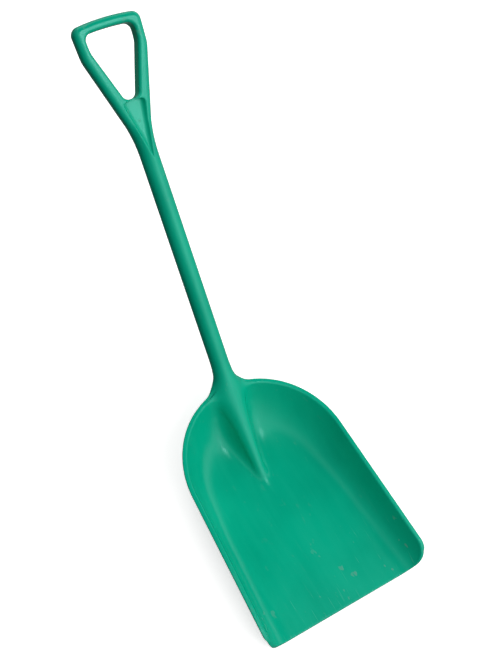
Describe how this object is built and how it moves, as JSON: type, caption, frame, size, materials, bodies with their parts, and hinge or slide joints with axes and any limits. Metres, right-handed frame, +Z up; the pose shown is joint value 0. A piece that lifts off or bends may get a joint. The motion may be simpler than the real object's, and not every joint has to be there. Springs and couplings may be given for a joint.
{
  "type": "scoop shovel",
  "caption": "One-piece moulded plastic scoop shovel: deep rounded pan with a flat bed, straight digging edge, raised walls, round shaft and triangular D-grip.",
  "frame": {"origin": "on the centre line of the scoop's flat underside, 190 mm behind the digging edge", "axes": "+Y from the digging edge to the grip, +Z up out of the open scoop, X across; the scoop lies flat on Z = 0"},
  "size_m": [0.3476, 0.9859, 0.4659],
  "materials": {
    "scoop_plastic": "glossy moulded green plastic with light scuffs near the digging edge",
    "handle_plastic": "glossy moulded green plastic"
  },
  "bodies": {
    "root": {"scoop_bed": "scoop_plastic", "digging_lip": "scoop_plastic", "left_wall": "scoop_plastic", "right_wall": "scoop_plastic", "back_wall": "scoop_plastic", "rim_bead": "scoop_plastic", "shaft_ridge": "scoop_plastic", "shaft_socket": "handle_plastic", "shaft": "handle_plastic", "grip_yoke": "handle_plastic", "grip_web": "handle_plastic", "left_arm": "handle_plastic", "right_arm": "handle_plastic", "crossbar": "handle_plastic"}
  },
  "joints": []
}
